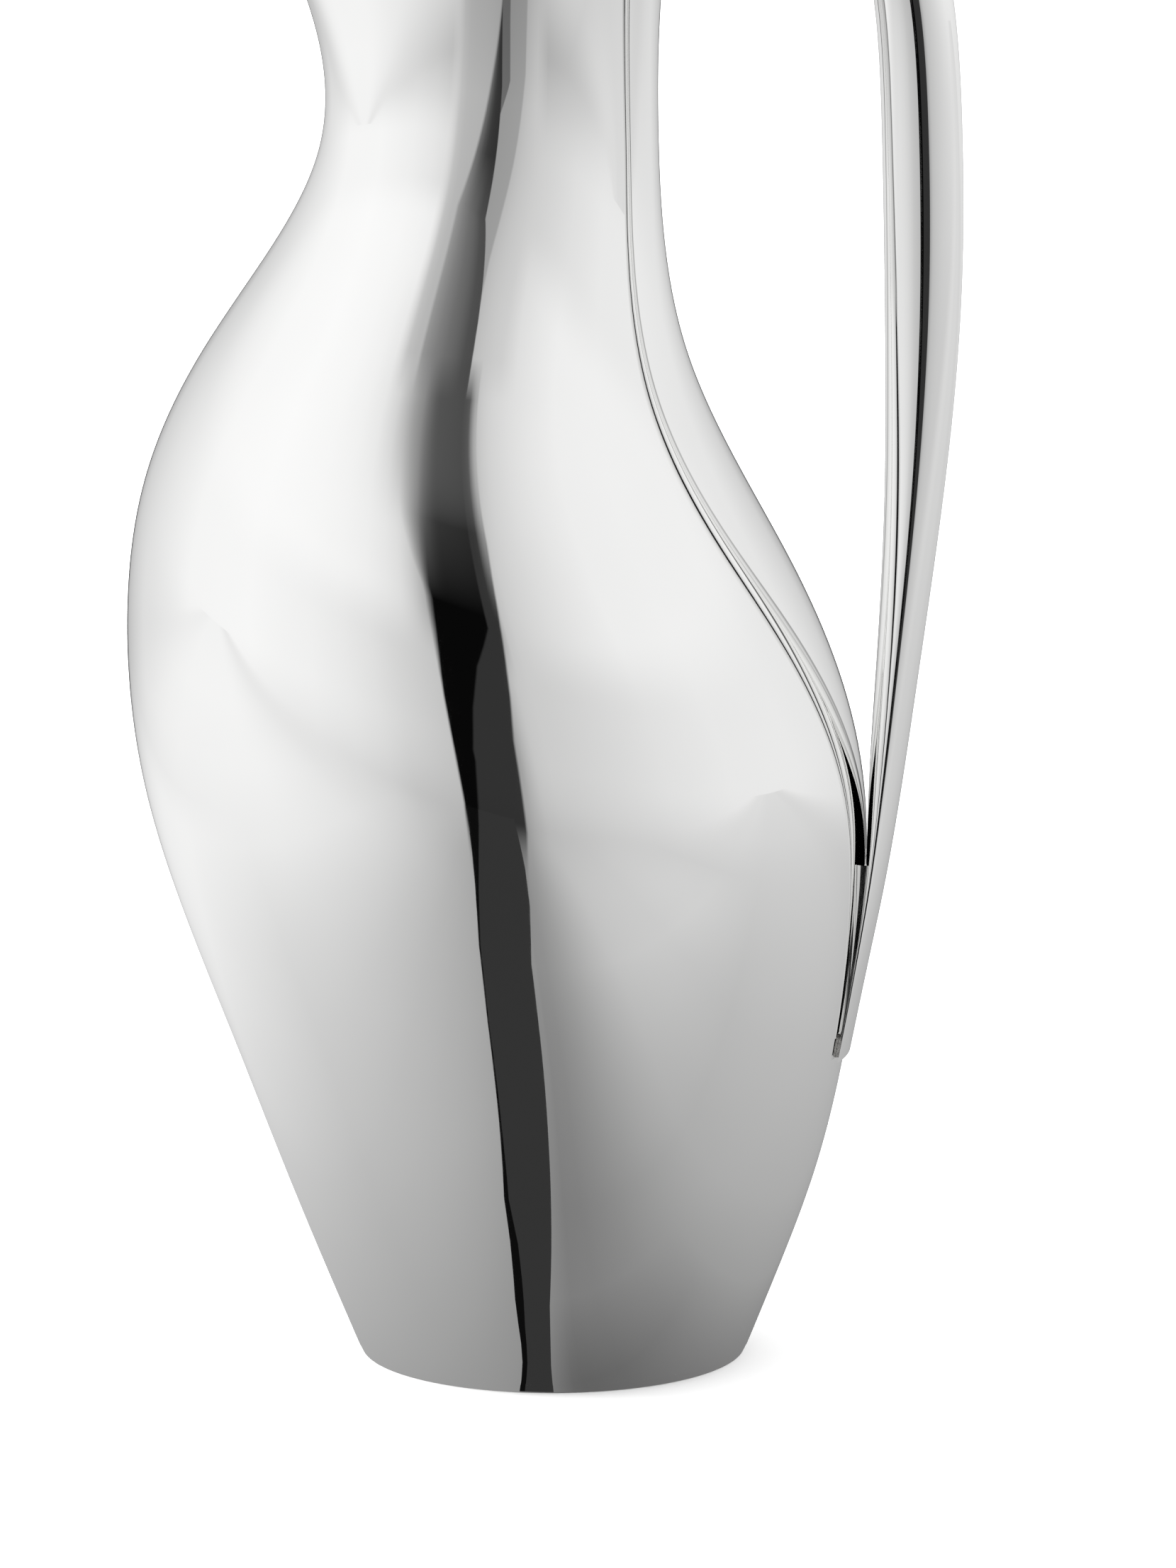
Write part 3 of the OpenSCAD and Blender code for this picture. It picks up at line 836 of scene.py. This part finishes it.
def tent_colour(n):
    """The tent's colour by direction, and the height that the direction points to."""
    direction = n.add("TexCoord").outputs["Generated"]
    turned = n.add("Mapping", {"vector_type": "POINT"}, Vector=direction, Rotation=(0, 0, -CAMERA_AZIMUTH))
    azimuth, height = look(n, turned.outputs["Vector"])
    zones = (LOW_TENT, LEVEL_TENT, BLACK_TENT, HIGH_TENT)
    low, *higher = [angle_ramp(n, azimuth, stops, 360) for stops in zones]
    colour = low
    for zone, (start, end) in zip(higher, TENT_BLENDS):
        colour = n.mixed(n.ease(height, 0, 1, start, end), colour, zone)

    left, right, black, soft = [
        climb(n, height, *line) for line in (LEFT_EDGE, RIGHT_EDGE, BLACK_EDGE, LEFT_SOFTNESS)
    ]
    inside = n.math("MULTIPLY", over(n, azimuth, left, soft), over(n, right, azimuth, 0.35))
    inside = n.math("MULTIPLY", inside, n.spread(height, 1, 0, 35, 44))
    opening = n.mixed(over(n, black, azimuth, 0.3), grey(OPENING_GREY), grey(OPENING_BLACK))
    opening = n.mixed(n.spread(height, 0, 1, 24, 44), opening, higher[-1])
    return n.mixed(inside, colour, opening), height


def tent():
    """The white light tent: brightness by direction, with the dark opening for the camera."""
    world = bpy.data.worlds.new("tent")
    bpy.context.scene.world = world
    world.use_nodes = True
    n = Nodes(world.node_tree)
    colour, height = tent_colour(n)
    path = n.add("LightPath").outputs
    gain = n.spread(path["Is Diffuse Ray"], TENT_GAIN, FLOOR_GAIN, 0, 1)
    dim = n.ease(height, 0.62, 1, -34, -6)
    reflected = n.add("Background", Color=colour, Strength=n.math("MULTIPLY", dim, gain))
    seen = n.add("Background", Color=(1, 1, 1, 1), Strength=WHITE_GAIN)
    n.shown("OutputWorld", n.layered(path["Is Camera Ray"], reflected, seen))


def on_stage(right, ahead):
    """X and Y of a place to the right and towards the camera, seen from the pitcher."""
    c, s = math.cos(CAMERA_AZIMUTH), math.sin(CAMERA_AZIMUTH)
    return right * c + ahead * s, right * s - ahead * c


def stage_object(name, data):
    thing = bpy.data.objects.new(name, data)
    bpy.context.scene.collection.objects.link(thing)
    return thing


def flat_card(name, corners, height):
    """A level card with corners to the right and towards the camera."""
    mesh = bpy.data.meshes.new(name)
    points = [(*on_stage(right, ahead), height) for right, ahead in corners]
    mesh.from_pydata(points, [], [tuple(range(len(points)))])
    card = stage_object(name, mesh)
    return card


def bowl_card(name):
    """Part of a bowl around the neck, which the neck's reflections meet square on, glowing with a painted
    reflection for them.
    """
    rows, cols = 28, 32
    across, up = np.meshgrid(
        np.radians(np.linspace(-NECK_SPAN / 2, NECK_SPAN / 2, cols)),
        np.radians(np.linspace(NECK_LOW_END, NECK_HIGH_END, rows)),
    )
    points = NECK_BOWL * np.stack([
        np.sin(across) * np.cos(up), -np.cos(across) * np.cos(up), np.sin(up),
    ], -1)
    mesh = bpy.data.meshes.new(name)
    mesh.from_pydata([tuple(p) for p in points.reshape(-1, 3)], [], grid_faces(rows, cols, 0).tolist())
    mesh.polygons.foreach_set("use_smooth", [True] * len(mesh.polygons))
    card = stage_object(name, mesh)
    card.rotation_euler = (0, 0, CAMERA_AZIMUTH)
    right, ahead, height = NECK_CENTRE
    card.location = (*on_stage(right, ahead), height)
    return card


def only_in_reflections(card):
    card.visible_camera = False
    card.visible_shadow = False
    card.visible_diffuse = False


def glow(name, colour_of):
    """A material that only gives off light: colour_of(nodes) is its colour and its cover."""
    material, n = new_nodes(name)
    colour, cover = colour_of(n)
    emission = n.add("Emission", Color=colour, Strength=TENT_GAIN)
    n.shown("OutputMaterial", n.layered(cover, n.add("BsdfTransparent"), emission))
    material.cycles.emission_sampling = "NONE"
    return material


def bent(x):
    """Squeezes distances to between 0 and 1, finely near 0."""
    return 0.5 + 0.5 * x / (abs(x) + TABLE_BEND)


def painted_table_light(n):
    """Painted light and shade of the table as the silver shows it: low beside the opening, rising to both
    sides.
    """
    place = n.add("TexCoord").outputs["Object"]
    turned = n.add("Mapping", Vector=place, Rotation=(0, 0, -CAMERA_AZIMUTH)).outputs["Vector"]
    parts = n.add("SeparateXYZ", Vector=turned).outputs
    right, ahead = parts["X"], n.math("MULTIPLY", parts["Y"], -1)
    squeezed = n.math("DIVIDE", right, n.math("ADD", n.math("ABSOLUTE", right), TABLE_BEND))
    along = n.math("ADD", n.math("MULTIPLY", squeezed, 0.5), 0.5)
    light = light_ramp(n, along, [(bent(x), brightness) for x, brightness in TABLE_LEFT + TABLE_RIGHT])

    def where(by_ahead, by_right):
        return n.math("MULTIPLY", n.spread(ahead, *by_ahead), n.spread(right, *by_right))

    # Painted light and shade: darker close by the foot on the right, lighter further towards the camera on
    # the right and just behind on the left, darker further towards the camera on the left and far behind.
    painted_shade_by_foot = where((-0.4, 0, 0.036, 0.056), (1, 0, 0.008, 0.055))
    further = where((0, 0.3, 0.085, 0.19), (1, 0.1, 0.1, 0.4))
    by_left = where((0.28, 0, -0.12, 0.035), (0, 1, -0.3, -0.12))
    right_change = n.math("ADD", painted_shade_by_foot, further)
    left_change = n.math("ADD", by_left, n.ease(ahead, 0, -0.12, 0.08, 0.38))
    right_share = n.spread(right, 0, 1, -0.004, 0.004)
    left_share = n.math("SUBTRACT", 1, right_share)
    beside = n.math("ADD", n.math("MULTIPLY", right_share, right_change), 1)
    beside = n.math("ADD", n.math("MULTIPLY", left_share, left_change), beside)
    strength = n.math("MULTIPLY", beside, n.spread(ahead, 0.80, 1, -0.9, -0.15))
    cover = n.math("MULTIPLY", n.ease(ahead, 1, 0, 0.24, 0.54), n.ease(ahead, 0, 1, -0.60, -0.20))
    return n.scaled(light, strength), cover


def painted_neck_reflection(n):
    """A painted reflection of the opening and the tent's edges close by, as the neck and shoulder show them.
    """
    place = n.add("TexCoord").outputs["Object"]
    azimuth, height = look(n, n.add("Mapping", Vector=place, Scale=(1 / NECK_BOWL,) * 3).outputs[0])
    left, dark, bright = [
        climb(n, height, *line) for line in (NECK_LEFT_EDGE, NECK_DARK_EDGE, NECK_BRIGHT_EDGE)
    ]
    strip = n.math("ADD", dark, n.spread(height, 4.8, 0, -9, -4))
    width = n.math("MAXIMUM", n.math("SUBTRACT", dark, left), 0.05)
    share = n.math("DIVIDE", n.math("SUBTRACT", azimuth, left), width)
    low, high = light_ramp(n, share, NECK_LOW), light_ramp(n, share, NECK_HIGH)
    across = n.mixed(n.spread(height, 0, 1, 3, 14), low, high)
    beyond = angle_ramp(n, n.math("SUBTRACT", azimuth, bright), NECK_RIGHT, NECK_SPAN)
    colour = angle_ramp(n, azimuth, NECK_LEFT, NECK_SPAN)
    colour = n.mixed(over(n, azimuth, left, 0.7), colour, across)
    colour = n.mixed(over(n, azimuth, dark, 0.2), colour, grey(NECK_STRIP))
    colour = n.mixed(over(n, azimuth, strip, 0.25), colour, beyond)

    # Only rays that meet the bowl almost square on see its painted reflection: the neck's do, and the
    # belly's don't.
    facing = n.add("LayerWeight", Blend=0.5).outputs["Facing"]
    cover = n.spread(facing, 1, 0, 0.045, 0.062)
    for value, gone, full in ((azimuth, -29, -24), (azimuth, 28, 21), (height, -23, -19), (height, 31, 26)):
        cover = n.math("MULTIPLY", cover, n.spread(value, 0, 1, gone, full))
    return n.scaled(colour, n.spread(height, 0.82, 1, -20, -6)), cover


def floor():
    """The white floor that the camera sees, with the pitcher's shadow on it."""
    reach = FLOOR_REACH
    card = flat_card("floor", [(-reach, -reach), (reach, -reach), (reach, reach), (-reach, reach)], 0)
    material, n = new_nodes("floor_white")
    place = n.add("TexCoord").outputs["Object"]
    shader = n.add("BsdfPrincipled", Roughness=0.9)
    n.set(shader, "Base Color", n.blend(n.noise(place, 3, 2), (0.90, 0.90, 0.90), (0.88, 0.88, 0.88)))
    n.set(shader, "Specular IOR Level", 0.0)
    n.shown("OutputMaterial", shader)
    material.cycles.emission_sampling = "NONE"
    card.data.materials.append(material)
    card.visible_glossy = False


def cards():
    """The table and the dark opening, which only the silver shows: glowing cards, the table with painted
    light and shade, and a bowl with a painted reflection for the neck.
    """
    reach, back, front = TABLE_REACH, TABLE_BACK, TABLE_FRONT
    table = flat_card("table", [(-reach, back), (reach, back), (reach, front), (-reach, front)], CARD_STEP)
    gap = flat_card("opening_on_table", OPENING_LEFT + OPENING_RIGHT[::-1], 2 * CARD_STEP)
    dark = flat_card("opening_edge", OPENING_LEFT + OPENING_EDGE[::-1], 3 * CARD_STEP)
    bowl = bowl_card("painted_reflection_bowl")
    for card, name, light in (
        (table, "painted_table_light", painted_table_light),
        (gap, "opening_grey", lambda nodes: (grey(TABLE_GREY), 1)),
        (dark, "opening_black", lambda nodes: (grey(TABLE_BLACK), 1)),
        (bowl, "painted_neck_reflection", painted_neck_reflection),
    ):
        card.data.materials.append(glow(name, light))
        only_in_reflections(card)


def side_light():
    """A wide soft light from the left, which sets the faint shadow beside the foot."""
    light = bpy.data.lights.new("left_soft", "AREA")
    light.shape = "RECTANGLE"
    light.size, light.size_y = LAMP_SIZE
    light.energy = LAMP_ENERGY
    lamp = stage_object("left_soft", light)
    lamp.location = LAMP_PLACE
    lamp.rotation_euler = (-lamp.location).to_track_quat("-Z", "Y").to_euler()
    lamp.visible_glossy = False
    lamp.visible_camera = False


def camera():
    data = bpy.data.cameras.new("camera")
    data.sensor_width = SENSOR
    data.lens = SENSOR * CAMERA_DISTANCE / VIEW_HEIGHT
    data.clip_start, data.clip_end = 0.1, 100
    view = stage_object("camera", data)
    flat = math.cos(CAMERA_ELEVATION)
    back = Vector((
        math.sin(CAMERA_AZIMUTH) * flat,
        -math.cos(CAMERA_AZIMUTH) * flat,
        math.sin(CAMERA_ELEVATION),
    ))
    view.location = CAMERA_AIM + CAMERA_DISTANCE * back
    view.rotation_euler = (-back).to_track_quat("-Z", "Y").to_euler()
    bpy.context.scene.camera = view


# ---------------------------------------------------------------- the pitcher


def finish_piece(piece, node, slot, *materials):
    for material in materials:
        piece.data.materials.append(material)
    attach(piece, "root")
    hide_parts(node)


def line_inside(piece, rows, cols):
    """Gives a sheet's inner faces its second material."""
    quads = (rows - 1) * (cols - 1)
    faces = piece.data.polygons
    for face in faces[quads:2 * quads]:
        face.material_index = 1


def body(silver, inside, seam):
    for node, side in (("near_body_half", -1), ("far_body_half", 1)):
        half = body_half(node + "_silver", side)
        finish_piece(half, node, "polished_silver", silver, inside)
        line_inside(half, BODY_ROWS + 1, BODY_COLS)
    for node, middle in (("front_seam_solder", math.pi), ("back_seam_solder", 0)):
        line = seam_solder(node + "_line", middle)
        finish_piece(line, node, "polished_silver", seam, inside)
        line_inside(line, BODY_ROWS + 1, SEAM_COLS)


def handle(silver, seam, solder):
    outer = handle_shell("handle_outer_silver", 1, 0)
    inner = handle_shell("handle_inner_silver", -1, float(handle_level(INNER_SHELL_FOOT)))
    seams = handle_seam_solder("handle_seam_lines")
    saddle = handle_head_saddle("handle_saddle_silver")
    head_line = handle_head_solder("handle_head_line")
    fillet = handle_foot_solder("handle_foot_fillet")
    finish_piece(outer, "handle_outer_shell", "polished_silver", silver)
    finish_piece(inner, "handle_inner_shell", "polished_silver", silver)
    finish_piece(seams, "handle_seam_solder", "polished_silver", seam)
    finish_piece(saddle, "handle_head_saddle", "polished_silver", silver)
    finish_piece(head_line, "handle_head_solder", "solder_line", seam)
    finish_piece(fillet, "handle_foot_solder", "solder_line", solder, seam)
    for face in fillet.data.polygons:
        face.material_index = int(face.center.z > INNER_SHELL_FOOT + FOOT_SOLDER_BREAK / 2)


def pitcher():
    silver, inside, seam, solder = polished_silver(), inner_silver(), seam_silver(), rough_solder()
    body(silver, inside, seam)
    finish_piece(rim_bead("rim_bead_silver"), "rim_bead", "polished_silver", silver)
    finish_piece(foot_ring("foot_ring_silver"), "foot_ring", "polished_silver", silver)
    finish_piece(bottom_plate("bottom_plate_silver"), "bottom_plate", "inner_silver", inside)
    finish_piece(bottom_seam_solder("bottom_fillet"), "bottom_seam_solder", "solder_line", solder)
    handle(silver, seam, solder)


tent()
floor()
cards()
side_light()
camera()
pitcher()
bpy.context.scene.view_settings.view_transform = "Standard"
